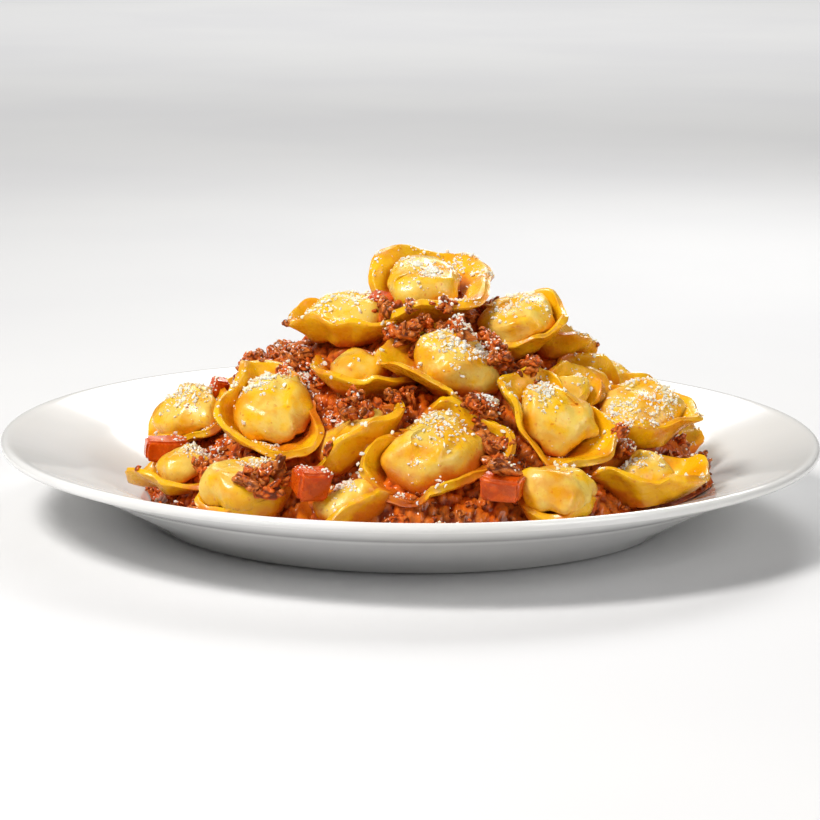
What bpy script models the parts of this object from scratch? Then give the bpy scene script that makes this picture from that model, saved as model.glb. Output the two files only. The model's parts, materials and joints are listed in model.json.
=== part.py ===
"""A rimmed dinner plate heaped with tortellini in meat sauce, with carrot dice.

Frame: metres, +Z up, the origin under the middle of the plate's foot, the diner's side at -Y.
Sizes are given in millimetres and turned into metres by MM.

The plate is a turned profile. Each tortellino is a loft: a half moon of folded dough with a
filled pouch along its fold, bent round a finger until its two tips meet. The pieces are piled
from the top of the heap down, and each is hollowed where a piece above it presses in. The meat
sauce is one core that fills the heap up to just under the pasta.
"""

import math

import bmesh
import bpy
import numpy as np
from mathutils import Matrix, Vector
from mathutils.bvhtree import BVHTree

MM = 0.001

# ---- driving dimensions, millimetres and degrees ------------------------------------------

PLATE_RADIUS = 130.0
RIM_HEIGHT = 26.0
RIM_SLOPE = 0.33
RIM_THICKNESS = 3.2
WALL_RADIUS = 108.0
WELL_RADIUS = 76.0
WELL_HEIGHT = 6.5
FOOT_OUTER = 83.0
FOOT_WIDTH = 3.2
FOOT_HEIGHT = 4.5
FOOT_FLARE = 6.0
RECESS_HEIGHT = 2.5
PLATE_STEPS = 32

HEAP_X = 6.0
HEAP_TOP = 86.0
HEAP_RADIUS = 93.0
BACK_SAG = 12.0
SAG_FROM = -15.0
SAG_TO = 25.0
MOUND_X = -48.0
MOUND_Y = -9.0
MOUND_RISE = 7.0
MOUND_WIDTH = 15.0

PIECE_GAP = 0.35
PIECE_REST = 1.5
FLAT_ANGLE = 1.5

RING_RADIUS = 6.2
SPIRAL = 0.8
PLAN_WIDTH = 1.08
PLAN_DEPTH = 0.92
LEAST_RADIUS = 0.8
CROWN_RISE = 0.9
BELLY = 5.4
BELLY_DEPTH = 12.5
BRIM_HALF = 1.1
BRIM_BEND = 11.0
MOST_CURL = 150.0
TUCK = 3.2
POUCH_MIDDLE = (0.0, -2.0, -7.0)
STATIONS = 10
STOPS = (0.0, 0.15, 0.5, 0.95, 1.35, 2.0, 2.0, 1.35, 1.1)
STOP_SIDES = (1, 1, 1, 1, 1, 1, -1, -1, -1)

SAUCE_RINGS = 10
SAUCE_SECTORS = 28
LOW_RINGS = (6, 8, 9, 10)
SAUCE_FILM = 0.7

DICE_BEVEL = 0.9


# ---- materials ------------------------------------------------------------------------------

def make_material(name, colour, roughness):
    """Return a Principled material with one colour and roughness."""
    material = bpy.data.materials.new(name)
    material.use_nodes = True
    shader = material.node_tree.nodes["Principled BSDF"]
    shader.inputs["Base Color"].default_value = (*colour, 1.0)
    shader.inputs["Roughness"].default_value = roughness
    shader.inputs["Metallic"].default_value = 0.0
    return material


def make_materials():
    """Return the finishes of the plate and the food by name."""
    return {
        "glaze": make_material("glazed_porcelain", (0.86, 0.86, 0.85), 0.12),
        "pasta": make_material("egg_pasta", (0.84, 0.46, 0.045), 0.38),
        "sauce": make_material("meat_sauce", (0.36, 0.08, 0.02), 0.42),
        "carrot": make_material("carrot", (0.72, 0.12, 0.015), 0.35),
    }


# ---- common tools ---------------------------------------------------------------------------

def clear_scene():
    """Remove every object of the open scene."""
    for item in list(bpy.data.objects):
        bpy.data.objects.remove(item, do_unlink=True)


def smooth_step(low, high, value):
    """Return the smooth rise from 0 at low to 1 at high."""
    t = np.clip((value - low) / (high - low), 0.0, 1.0)
    return t * t * (3.0 - 2.0 * t)


def dish_height(radius):
    """Return the height of the plate's upper surface at a distance from its middle."""
    wall_top = WALL_RADIUS - 2.0
    rim_edge = PLATE_RADIUS - 2.0
    wall_top_height = RIM_HEIGHT - RIM_SLOPE * (rim_edge - wall_top)
    span = wall_top - WELL_RADIUS
    t = min(max((radius - WELL_RADIUS) / span, 0.0), 1.0)
    rise = (wall_top_height - WELL_HEIGHT) * t * t * (3.0 - 2.0 * t)
    slope = RIM_SLOPE * span * (t ** 3 - t ** 2)
    return WELL_HEIGHT + rise + slope + RIM_SLOPE * max(radius - wall_top, 0.0)


def add_mesh_object(name, points, faces, material, collection):
    """Link a new object made of points in metres and faces."""
    mesh = bpy.data.meshes.new(name)
    mesh.from_pydata([tuple(point) for point in points], [], faces)
    mesh.materials.append(material)
    mesh.update()
    item = bpy.data.objects.new(name, mesh)
    collection.objects.link(item)
    return item


def shade_round(item, angle_degrees):
    """Shade an object smooth, with creases sharper than the angle kept."""
    item.data.shade_smooth()
    item.data.set_sharp_from_angle(angle=math.radians(angle_degrees))


# ---- plate ----------------------------------------------------------------------------------

def plate_profile():
    """Return the half section of the plate, from its upper middle out and down to its base."""
    profile = [(0.0, WELL_HEIGHT)]
    wall_top = WALL_RADIUS - 2.0
    for step in range(6):
        radius = WELL_RADIUS + (wall_top - WELL_RADIUS) * step / 5.0
        profile.append((radius, dish_height(radius)))
    lip = RIM_THICKNESS / 2.0
    for degrees in (90.0, 45.0, 0.0, -50.0):
        angle = math.radians(degrees)
        across = PLATE_RADIUS - lip + lip * math.cos(angle)
        profile.append((across, RIM_HEIGHT - lip + lip * math.sin(angle)))
    profile += [
        (WALL_RADIUS + 2.0, dish_height(WALL_RADIUS + 2.0) - 4.2),
        (WALL_RADIUS, dish_height(WALL_RADIUS) - 4.8),
        (FOOT_OUTER + FOOT_FLARE, FOOT_HEIGHT),
        (FOOT_OUTER, 0.0),
        (FOOT_OUTER - FOOT_WIDTH, 0.0),
        (FOOT_OUTER - FOOT_WIDTH - 2.0, RECESS_HEIGHT),
        (0.0, RECESS_HEIGHT),
    ]
    return profile


def build_plate(material, collection):
    """Turn the plate's profile round the vertical axis."""
    profile = plate_profile()
    points = [(radius * MM, 0.0, height * MM) for radius, height in profile]
    mesh = bpy.data.meshes.new("plate")
    mesh.from_pydata(points, [(i, i + 1) for i in range(len(points) - 1)], [])
    mesh.materials.append(material)
    plate = bpy.data.objects.new("plate", mesh)
    collection.objects.link(plate)
    turn = plate.modifiers.new("turn", "SCREW")
    turn.axis = "Z"
    turn.steps = PLATE_STEPS
    turn.render_steps = PLATE_STEPS
    turn.use_merge_vertices = True
    turn.merge_threshold = 0.0001
    turn.use_smooth_shade = True
    return plate


# ---- tortellini -----------------------------------------------------------------------------

# Each row places one piece that lies on the diner's side of the heap:
# name, x, y, z of the pouch's middle (mm), heading, tilt, spin (degrees), size,
# fill, flap (mm), curl, sway, ruffle, phase (degrees).
# Heading turns the crown round the heap, tilt lays it over from upright and spin turns the
# piece about its own crown. Fill is how full the pouch is, and flap is the dough's length from
# fold to edge. The brim curls outward and up by curl, one side more than the other by sway,
# and waves by ruffle.
FRONT_PIECES = (
    ("summit", 6, -14, 73.2, 4, 19, 95, 1.32, 0.80, 27, 132, 0, 16, 210),
    ("shoulder_left", -21, -20, 64, -10, 8, 5, 1.02, 0.95, 27, 145, 0, 12, 80),
    ("ledge_left", -15, -38, 50, -4, 6, 5, 0.98, 0.85, 28, 140, 0, 12, 200),
    ("shoulder_right", 33, -26, 64, -20, 36, 45, 1.00, 0.98, 25, 146, 0, 10, 120),
    ("wing_right", 42, -8, 57, 130, 30, 20, 0.95, 0.85, 28, 140, 0, 12, 300),
    ("heart", 12, -45, 55, 40, 40, -45, 1.04, 0.98, 29, 118, 0, 16, 80),
    ("big_left", -43, -46, 41, -12, 36, -55, 1.10, 1.00, 28, 146, 0, 14, 145),
    ("edge_left", -70, -22, 34, -50, 48, 20, 0.98, 1.00, 25, 136, 0, 14, 60),
    ("low_left", -71, -42, 21, -25, 10, 0, 0.90, 0.70, 25, 125, 0, 12, 90),
    ("base_left", -50, -68, 11, -20, 14, 10, 1.05, 1.00, 21, 150, 0, 10, 0),
    ("crescent", -17, -60, 34, -70, 34, 60, 1.00, 0.85, 28, 145, 0, 10, 30),
    ("front_bowl", 7, -71, 32, 8, 52, 25, 1.18, 1.04, 29, 150, 0, 12, 65),
    ("base_front", -18, -76, 15, -65, 20, 60, 0.95, 0.90, 27, 145, 0, 10, 0),
    ("long_lip", 42, -55, 40, 15, 48, -50, 1.00, 0.94, 30, 146, 0, 12, 110),
    ("brow_right", 70, -33, 37.5, 6, 22, 15, 1.05, 1.08, 28, 145, 0, 14, 80),
    ("loop_right", 57, -46, 31, 75, 60, 80, 0.85, 0.85, 26, 120, 0, 10, 0),
    ("ear_high", 57, -24, 45, 40, 55, 120, 0.72, 0.85, 26, 120, 0, 12, 30),
    ("ear_low", 48, -34, 46, 10, 60, 200, 0.62, 0.85, 26, 120, 0, 10, 50),
    ("boat_right", 71, -55, 20, 5, 10, 15, 1.02, 0.70, 28, 140, 0, 12, 130),
    ("base_right", 43, -78, 9, 10, 6, 10, 0.98, 1.05, 20, 150, 0, 8, 0),
    ("flap_right", 79, 2, 32, 60, 40, 60, 0.95, 0.85, 27, 120, 0, 14, 80),
    ("saddle_left", -46, 15, 37, -75, 25, 30, 1.05, 0.90, 26, 138, 0, 12, 250),
    ("crown_back", 3, 15, 64, 170, 35, 15, 0.95, 0.90, 26, 138, 0, 12, 60),
)

# The far side is laid in rings: ring radius, height, first and last bearing, count, tilt.
BACK_RINGS = (
    (76.0, 20.0, 104.0, 266.0, 8, 36.0),
    (50.0, 40.0, 98.0, 228.0, 5, 38.0),
    (28.0, 58.0, 120.0, 248.0, 3, 30.0),
)


def back_pieces():
    """Return rows like FRONT_PIECES for the rings that close the far side of the heap."""
    rows = []
    for ring, (radius, height, first, last, count, tilt) in enumerate(BACK_RINGS):
        for k in range(count):
            number = len(rows)
            share = k / (count - 1)
            bearing = math.radians(first + (last - first) * share)
            reach = radius + 3.0 * math.sin(2.4 * number)
            rows.append((
                f"back_{ring + 1}{chr(97 + k)}",
                HEAP_X * (0.6 + 0.2 * ring) + reach * math.sin(bearing),
                -reach * math.cos(bearing),
                height + 2.5 * math.sin(1.7 * number + 1.0),
                math.degrees(bearing) + 25.0 * math.sin(3.1 * number),
                tilt + 22.0 * math.sin(2.0 * number + 0.5),
                45.0 * math.sin(4.3 * number + 0.8),
                1.03 + 0.07 * math.sin(1.3 * number),
                0.9 + 0.1 * math.sin(2.2 * number),
                26.0 + 1.5 * math.sin(3.7 * number),
                130.0 + 18.0 * math.sin(2.7 * number + 2.0),
                10.0 * math.sin(1.9 * number),
                14.0,
                137.0 * number,
            ))
    return rows


def pouch_swell(stop):
    """Return how full the pouch is at each stop, round above and running out softly below."""
    t = np.clip(stop, 0.0, 1.0)
    upper = np.sqrt(np.clip(1.0 - (2.0 * t - 1.0) ** 2, 0.0, 1.0))
    lower = np.clip(1.0 - (2.0 * t - 1.0) ** 2, 0.0, 1.0) ** 0.8
    return np.where(t < 0.5, upper, lower)


def tortellino_rows(fill, flap, curl, sway, ruffle, phase):
    """Return the loft of one piece: rows of points in mm, crown up, pouch towards -Y.

    A row is the section of the folded dough at one station along the fold, from the crown
    over the pouch and down the outside to the brim's edge, then back under the brim.
    Stops run 0 to 1 over the filled pouch and 1 to 2 over the sealed brim.
    """
    station = (2.0 * np.arange(STATIONS)[:, None] + 1.0) / STATIONS - 1.0
    stop = np.array(STOPS)[None, :]
    side = np.array(STOP_SIDES)
    bearing = math.pi * station
    phase = math.radians(phase)
    length = np.abs(station)
    reach = flap * np.sqrt(1.0 - length ** TUCK)
    arch = np.sqrt(np.clip(1.0 - (length / 0.95) ** 2.2, 0.0, 1.0))
    filling = 0.5 + 0.5 * arch
    depth = BELLY_DEPTH * (0.5 + 0.5 * fill) * (0.55 + 0.45 * filling)
    depth = np.minimum(depth, 0.8 * reach)
    turn = curl + sway * np.sin(bearing) + ruffle * np.sin(2.0 * bearing + phase)
    turn += 0.6 * ruffle * np.sin(3.0 * bearing + 2.0 * phase)
    turn = np.radians(np.clip(turn, 20.0, MOST_CURL))
    along = np.linspace(0.0, 1.0, 48)[None, :] * reach
    lean = turn * smooth_step(0.7 * depth, 0.7 * depth + BRIM_BEND, along)
    lean = lean - math.radians(12.0) * (1.0 - smooth_step(0.0, depth, along))
    middle = (lean[:, 1:] + lean[:, :-1]) / 2.0
    pace = np.diff(along, axis=1)
    start = np.zeros((STATIONS, 1))
    out = np.concatenate([start, np.cumsum(np.sin(middle) * pace, axis=1)], axis=1)
    down = np.concatenate([start, -np.cumsum(np.cos(middle) * pace, axis=1)], axis=1)
    place = np.where(stop < 1.0, stop * depth, depth + (stop - 1.0) * (reach - depth))
    swell = np.where(side > 0, pouch_swell(stop[0]), 0.0)
    rows = []
    for i in range(STATIONS):
        angle = np.interp(place[i], along[i], lean[i])
        half = BRIM_HALF * side * np.minimum(1.0, 4.0 * stop[0]) + BELLY * fill * filling[i] * swell
        height = np.interp(place[i], along[i], down[i]) + np.sin(angle) * half
        ring = RING_RADIUS * (0.4 + 0.6 * fill) * (1.0 + 0.12 * math.cos(bearing[i, 0]))
        ring += SPIRAL * station[i, 0]
        radius = ring + np.interp(place[i], along[i], out[i]) + np.cos(angle) * half
        radius = np.maximum(radius, LEAST_RADIUS)
        x = PLAN_WIDTH * radius * math.sin(bearing[i, 0])
        y = -PLAN_DEPTH * radius * math.cos(bearing[i, 0])
        rows.append(np.stack([x, y, height], axis=1))
    return np.array(rows)


def close_loft(rows):
    """Return points and faces of the closed loft, with one pole at the crown and one below."""
    stations, stops = rows.shape[:2]
    points = [*rows.reshape(-1, 3), (0.0, 0.0, CROWN_RISE), (0.0, 0.0, rows[:, -1, 2].min())]
    crown = stations * stops
    faces = []
    for i in range(stations):
        a = i * stops
        b = (i + 1) % stations * stops
        for j in range(stops - 1):
            faces.append((a + j, a + j + 1, b + j + 1, b + j))
        faces.append((crown, a, b))
        faces.append((crown + 1, b + stops - 1, a + stops - 1))
    return points, faces


def settle_height(points):
    """Return how far points in mm must rise to lie PIECE_REST above the plate."""
    depths = [dish_height(math.hypot(x, y)) + PIECE_REST - z for x, y, z in points]
    return max(max(depths), 0.0)


def build_tortellino(row, material, collection):
    """Build one tortellino from its row and lay it in its place on the heap."""
    name, x, y, z, heading, tilt, spin, size = row[:8]
    points, faces = close_loft(tortellino_rows(*row[8:]))
    turn = Matrix.Rotation(math.radians(heading), 3, "Z")
    turn = turn @ Matrix.Rotation(math.radians(tilt), 3, "X")
    turn = turn @ Matrix.Rotation(math.radians(spin), 3, "Z")
    local = (np.array(points) - np.array(POUCH_MIDDLE)) * size
    placed = local @ np.array(turn).T + np.array([x, y, z])
    placed[:, 2] += settle_height(placed)
    item = add_mesh_object(name, placed * MM, faces, material, collection)
    bpy.context.view_layer.update()
    shade_round(item, 50.0)
    return item


# ---- carrot dice ----------------------------------------------------------------------------

# name, x, y, z of the middle (mm), length, width, height (mm), heading and tilt (degrees)
CARROT_DICE = (
    ("carrot_far_left", -75, -36, 27, 13, 7, 7, 15, 8),
    ("carrot_front_left", -29, -81, 27, 10, 8, 9, 25, 12),
    ("carrot_front", 27, -84, 27, 12, 8, 7, -15, 10),
    ("carrot_upper_left", -60, -18, 43, 5, 5, 6, 30, 20),
    ("carrot_summit", -9, -19, 71, 8, 6, 5, -20, 25),
    ("carrot_back_left", -46, 58, 34, 9, 8, 7, 40, 10),
    ("carrot_back_right", 60, 46, 34, 8, 8, 8, 70, 15),
    ("carrot_back", 8, 84, 23, 11, 8, 7, 10, 12),
)


def build_carrot(row, material, collection):
    """Build one bevelled piece of carrot."""
    name, x, y, z, length, width, height, heading, tilt = row
    mesh = bpy.data.meshes.new(name)
    form = bmesh.new()
    bmesh.ops.create_cube(form, size=1.0)
    bmesh.ops.scale(form, vec=(length * MM, width * MM, height * MM), verts=form.verts)
    bmesh.ops.bevel(
        form,
        geom=form.edges,
        offset=DICE_BEVEL * MM,
        segments=1,
        affect="EDGES",
    )
    form.to_mesh(mesh)
    form.free()
    mesh.materials.append(material)
    item = bpy.data.objects.new(name, mesh)
    collection.objects.link(item)
    item.location = (x * MM, y * MM, z * MM)
    item.rotation_euler = (math.radians(tilt), math.radians(0.5 * tilt), math.radians(heading))
    bpy.context.view_layer.update()
    shade_round(item, 30.0)
    return item


# ---- pressing the pieces together -----------------------------------------------------------

def grown_mesh(item, margin):
    """Return a world-space copy of an object's mesh, swollen outward by margin metres."""
    form = bmesh.new()
    form.from_mesh(item.data)
    form.transform(item.matrix_basis)
    bmesh.ops.triangulate(form, faces=form.faces)
    form.normal_update()
    moves = []
    for vert in form.verts:
        normal = vert.normal
        least = min(normal.dot(face.normal) for face in vert.link_faces)
        moves.append(normal * (margin / max(least, 0.45)))
    for vert, move in zip(form.verts, moves):
        vert.co += move
    mesh = bpy.data.meshes.new(item.name + "_grown")
    form.to_mesh(mesh)
    form.free()
    return mesh


def islands_of(form):
    """Return the connected pieces of a bmesh, each a set of faces."""
    unseen = set(form.faces)
    islands = []
    while unseen:
        front = [unseen.pop()]
        island = set(front)
        while front:
            face = front.pop()
            near = {other for edge in face.edges for other in edge.link_faces}
            near &= unseen
            unseen -= near
            island |= near
            front += near
        islands.append(island)
    return islands


def faces_volume(faces):
    """Return the volume that a closed set of triangles bounds."""
    total = 0.0
    for face in faces:
        a, b, c = (vert.co for vert in face.verts)
        total += a.dot(b.cross(c)) / 6.0
    return total


def keep_largest_piece(mesh):
    """Delete all but the bulkiest connected piece of a mesh, and merge its flat faces."""
    form = bmesh.new()
    form.from_mesh(mesh)
    bmesh.ops.dissolve_limit(
        form,
        angle_limit=math.radians(FLAT_ANGLE),
        verts=form.verts,
        edges=form.edges,
    )
    bmesh.ops.triangulate(form, faces=form.faces)
    islands = sorted(islands_of(form), key=faces_volume, reverse=True)
    spare = [face for island in islands[1:] for face in island]
    bmesh.ops.delete(form, geom=spare, context="FACES")
    form.to_mesh(mesh)
    form.free()


def cut_mesh(item, cutter, solver):
    """Return an object's mesh with a cutter taken away by one Boolean solver."""
    cut = item.modifiers.new("press", "BOOLEAN")
    cut.operation = "DIFFERENCE"
    cut.solver = solver
    cut.object = cutter
    bpy.context.view_layer.update()
    graph = bpy.context.evaluated_depsgraph_get()
    mesh = bpy.data.meshes.new_from_object(item.evaluated_get(graph))
    item.modifiers.clear()
    keep_largest_piece(mesh)
    return mesh


def is_closed(mesh):
    """Tell whether every edge of a mesh lies between two faces."""
    form = bmesh.new()
    form.from_mesh(mesh)
    closed = len(form.faces) > 0 and all(edge.is_manifold for edge in form.edges)
    form.free()
    return closed


def mesh_tree(mesh):
    """Return a search tree over a world-space mesh."""
    places = [vert.co for vert in mesh.vertices]
    return BVHTree.FromPolygons(places, [face.vertices for face in mesh.polygons])


def press_in(item, neighbour, guides):
    """Cut a neighbour, swollen by the gap, out of an object."""
    cutter = bpy.data.objects.new("press_guide", grown_mesh(neighbour, PIECE_GAP * MM))
    guides.objects.link(cutter)
    cutter.hide_render = True
    cutter.display_type = "WIRE"
    solid = mesh_tree(grown_mesh(neighbour, 0.0))
    for solver in ("EXACT", "MANIFOLD"):
        pressed = cut_mesh(item, cutter, solver)
        if is_closed(pressed) and not mesh_tree(pressed).overlap(solid):
            break
    item.data = pressed
    bpy.data.objects.remove(cutter, do_unlink=True)


def press_pile(pieces, guides):
    """Hollow each piece where an earlier piece of the list presses into it."""
    trees = [mesh_tree(grown_mesh(piece, PIECE_GAP * MM)) for piece in pieces]
    whole = [piece.copy() for piece in pieces]
    for number, piece in enumerate(pieces):
        for other in range(number):
            if trees[number].overlap(trees[other]):
                press_in(piece, whole[other], guides)
    for spare in whole:
        bpy.data.objects.remove(spare, do_unlink=True)


def press_sauce(sauce, pieces, guides):
    """Cut the pieces that still reach the sauce out of it."""
    for piece in pieces:
        if mesh_tree(sauce.data).overlap(mesh_tree(grown_mesh(piece, PIECE_GAP * MM))):
            press_in(sauce, piece, guides)


# ---- meat sauce -----------------------------------------------------------------------------

def heap_height(x, y):
    """Return the height of the sauce's own surface at a place under the pasta, in mm."""
    radius = math.hypot(x - HEAP_X, y)
    bearing = math.atan2(x - HEAP_X, -y)
    lobes = 2.0 * math.sin(5.0 * bearing + 0.7) + 1.4 * math.sin(9.0 * bearing + 2.0)
    share = min(radius / HEAP_RADIUS, 1.0)
    crown = (HEAP_TOP - 14.0) * (1.0 - share) ** 0.85
    clumps = 1.6 * math.sin(0.42 * x + 1.0) * math.sin(0.37 * y + 2.0)
    sag = BACK_SAG * smooth_step(SAG_FROM, SAG_TO, y)
    away = math.hypot(x - MOUND_X, y - MOUND_Y)
    mound = MOUND_RISE * math.exp(-((away / MOUND_WIDTH) ** 2))
    return WELL_HEIGHT + crown + 1.5 + lobes * share + clumps - sag + mound


def lowest_pasta(tree, x, y, spacing):
    """Return the lowest height of pasta over the neighbourhood of a place, in mm."""
    lowest = 1000.0
    steps = 3
    for i in range(-steps, steps + 1):
        for j in range(-steps, steps + 1):
            start = Vector((x + i * spacing / steps, y + j * spacing / steps, -20.0)) * MM
            found = tree.ray_cast(start, Vector((0.0, 0.0, 1.0)))[0]
            if found is not None:
                lowest = min(lowest, found.z / MM)
    return lowest


def build_sauce(pieces, material, collection):
    """Build the meat sauce as a ragged core that stays just under the pieces on it."""
    form = bmesh.new()
    for piece in pieces:
        part = bmesh.new()
        part.from_mesh(piece.data)
        part.transform(piece.matrix_basis)
        spare = bpy.data.meshes.new("spare")
        part.to_mesh(spare)
        part.free()
        form.from_mesh(spare)
        bpy.data.meshes.remove(spare)
    tree = BVHTree.FromBMesh(form)
    form.free()
    upper = []
    lower = []
    for ring in range(1, SAUCE_RINGS + 1):
        share = ring / SAUCE_RINGS
        for sector in range(SAUCE_SECTORS):
            bearing = math.tau * sector / SAUCE_SECTORS
            outline = HEAP_RADIUS - 2.0 + 3.0 * math.sin(6.0 * bearing + 1.0)
            radius = outline * share ** 0.9
            x = 0.7 * HEAP_X + radius * math.sin(bearing)
            y = -radius * math.cos(bearing)
            floor = dish_height(math.hypot(x, y)) + PIECE_GAP
            spacing = 0.5 * max(radius * math.tau / SAUCE_SECTORS, outline / SAUCE_RINGS)
            pasta = lowest_pasta(tree, x, y, spacing + 0.8)
            height = min(heap_height(x, y), pasta - PIECE_GAP)
            if ring == SAUCE_RINGS:
                height = floor + SAUCE_FILM
            upper.append((x, y, max(height, floor + SAUCE_FILM)))
            lower.append((x, y, floor))
    middle_x = 0.7 * HEAP_X
    pasta = lowest_pasta(tree, middle_x, 0.0, 4.0)
    points = [(middle_x, 0.0, min(heap_height(middle_x, 0.0), pasta - PIECE_GAP))]
    points += upper
    base = len(points)
    points.append((middle_x, 0.0, WELL_HEIGHT + PIECE_GAP))
    for ring in LOW_RINGS:
        points += lower[(ring - 1) * SAUCE_SECTORS:ring * SAUCE_SECTORS]
    faces = sauce_faces(len(LOW_RINGS), base)
    metres = [Vector(point) * MM for point in points]
    sauce = add_mesh_object("sauce", metres, faces, material, collection)
    shade_round(sauce, 60.0)
    return sauce


def sauce_faces(low_rings, base):
    """Return the faces of the sauce's top, underside and outer edge."""
    sectors = SAUCE_SECTORS
    faces = []
    for s in range(sectors):
        t = (s + 1) % sectors
        faces.append((0, 1 + s, 1 + t))
        faces.append((base, base + 1 + t, base + 1 + s))
        for ring in range(SAUCE_RINGS - 1):
            a = 1 + ring * sectors
            b = a + sectors
            faces.append((a + s, b + s, b + t, a + t))
        for ring in range(low_rings - 1):
            a = base + 1 + ring * sectors
            b = a + sectors
            faces.append((a + t, b + t, b + s, a + s))
        top = 1 + (SAUCE_RINGS - 1) * sectors
        low = base + 1 + (low_rings - 1) * sectors
        faces.append((top + s, low + s, low + t, top + t))
    return faces


# ---- assembly -------------------------------------------------------------------------------

def main():
    """Build the plate, the pasta, the carrot and the sauce."""
    clear_scene()
    parts = bpy.data.collections.new("tortellini_plate")
    guides = bpy.data.collections.new("guides")
    bpy.context.scene.collection.children.link(parts)
    bpy.context.scene.collection.children.link(guides)
    finish = make_materials()
    build_plate(finish["glaze"], parts)
    pile = [build_carrot(row, finish["carrot"], parts) for row in CARROT_DICE]
    rows = sorted([*FRONT_PIECES, *back_pieces()], key=lambda row: -row[3])
    for row in rows:
        pile.append(build_tortellino(row, finish["pasta"], parts))
    press_pile(pile, guides)
    sauce = build_sauce(pile, finish["sauce"], parts)
    press_sauce(sauce, pile, guides)


if __name__ == "__main__":
    main()
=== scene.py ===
"""Dresses the measured model of a plate of tortellini in meat sauce.

Everything is in metres in the model's own frame: +Z up, the origin under the middle of the
plate's foot, the diner's side at -Y. Tables of pieces are in millimetres and degrees.
"""

import json
import math
import random

import bmesh
import bpy
import numpy as np
from mathutils import Matrix, Vector
from mathutils.bvhtree import BVHTree
from mathutils.kdtree import KDTree

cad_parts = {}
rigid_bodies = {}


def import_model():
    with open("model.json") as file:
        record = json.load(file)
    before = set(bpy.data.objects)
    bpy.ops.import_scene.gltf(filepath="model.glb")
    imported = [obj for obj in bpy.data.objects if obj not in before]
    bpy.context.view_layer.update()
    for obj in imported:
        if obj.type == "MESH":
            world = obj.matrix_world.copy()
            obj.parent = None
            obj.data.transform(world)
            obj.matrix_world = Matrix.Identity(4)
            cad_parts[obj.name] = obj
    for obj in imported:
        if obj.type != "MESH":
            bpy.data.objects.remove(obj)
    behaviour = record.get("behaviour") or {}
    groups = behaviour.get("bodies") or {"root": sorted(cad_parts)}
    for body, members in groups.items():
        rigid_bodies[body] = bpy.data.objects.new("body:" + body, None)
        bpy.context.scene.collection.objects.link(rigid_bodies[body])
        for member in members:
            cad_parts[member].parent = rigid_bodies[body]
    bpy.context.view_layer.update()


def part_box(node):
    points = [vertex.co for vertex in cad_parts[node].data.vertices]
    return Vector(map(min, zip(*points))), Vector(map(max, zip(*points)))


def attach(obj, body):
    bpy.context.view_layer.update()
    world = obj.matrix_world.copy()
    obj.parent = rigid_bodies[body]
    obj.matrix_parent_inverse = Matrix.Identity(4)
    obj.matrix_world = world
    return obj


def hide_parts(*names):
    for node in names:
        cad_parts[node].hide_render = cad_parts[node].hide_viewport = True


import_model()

bl_info = {
    "name": "Tortellini Plate",
    "version": (1, 0, 0),
    "blender": (4, 5, 0),
    "location": "3D View > Sidebar > Tortellini",
    "description": "Builds a rimmed plate heaped with tortellini, meat sauce and grated cheese",
    "category": "Add Mesh",
}

MM = 0.001
BODY = "root"


def srgb(red, green, blue):
    """Return a colour given in 0 to 255 display values as linear values."""
    share = [value / 255 for value in (red, green, blue)]
    return tuple(c / 12.92 if c <= 0.04045 else ((c + 0.055) / 1.055) ** 2.4 for c in share)


def colour_setting(name, description, display_values):
    """Return a colour that a user may change, given by its display values."""
    return bpy.props.FloatVectorProperty(
        name=name,
        description=description,
        default=srgb(*display_values),
        size=3,
        subtype="COLOR",
    )


# ---- settings

PLATE_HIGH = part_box("plate")[1]


class PlateSettings(bpy.types.PropertyGroup):
    """Sizes and finish of the plate."""

    radius: bpy.props.FloatProperty(
        name="Radius",
        description="Distance from the middle of the plate to its lip",
        default=PLATE_HIGH[0],
        unit="LENGTH",
    )
    height: bpy.props.FloatProperty(
        name="Height",
        description="Height of the lip above the table",
        default=PLATE_HIGH[2],
        unit="LENGTH",
    )
    glaze: colour_setting("Glaze", "Colour of the glazed porcelain", (238, 238, 237))


class PastaSettings(bpy.types.PropertyGroup):
    """Finish of the tortellini."""

    dough: colour_setting("Dough", "Colour of the egg dough", (248, 192, 16))
    pale_dough: colour_setting(
        "Pale dough", "Colour of the dough where the filling shows through", (240, 204, 92)
    )
    film: colour_setting(
        "Sauce film", "Colour of the thin sauce that clings to the dough", (214, 112, 18)
    )


class SauceSettings(bpy.types.PropertyGroup):
    """Finish of the meat sauce, the dice and the cheese."""

    sauce: colour_setting("Sauce", "Colour of the sauce between the pieces", (206, 86, 14))
    mince: colour_setting("Mince", "Colour of the browned mince", (186, 104, 44))
    carrot: colour_setting("Carrot", "Colour of the carrot dice", (226, 92, 8))
    cheese: colour_setting("Cheese", "Colour of the grated cheese", (255, 250, 234))
    crumbs: bpy.props.IntProperty(
        name="Cheese crumbs",
        description="How many crumbs of cheese are scattered over the heap",
        default=8500,
        min=0,
    )


# ---- shader maths

class Value:
    """A shader socket that takes part in Python arithmetic."""

    def __init__(self, recipe, socket):
        self.recipe = recipe
        self.socket = socket

    def maths(self, operation, first, second):
        """Add one Math node and return what it gives."""
        return self.recipe.add("ShaderNodeMath", {"operation": operation}, {0: first, 1: second})

    def __add__(self, other):
        return self.maths("ADD", self, other)

    def __radd__(self, other):
        return self.maths("ADD", other, self)

    def __sub__(self, other):
        return self.maths("SUBTRACT", self, other)

    def __rsub__(self, other):
        return self.maths("SUBTRACT", other, self)

    def __mul__(self, other):
        return self.maths("MULTIPLY", self, other)

    def __rmul__(self, other):
        return self.maths("MULTIPLY", other, self)


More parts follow.
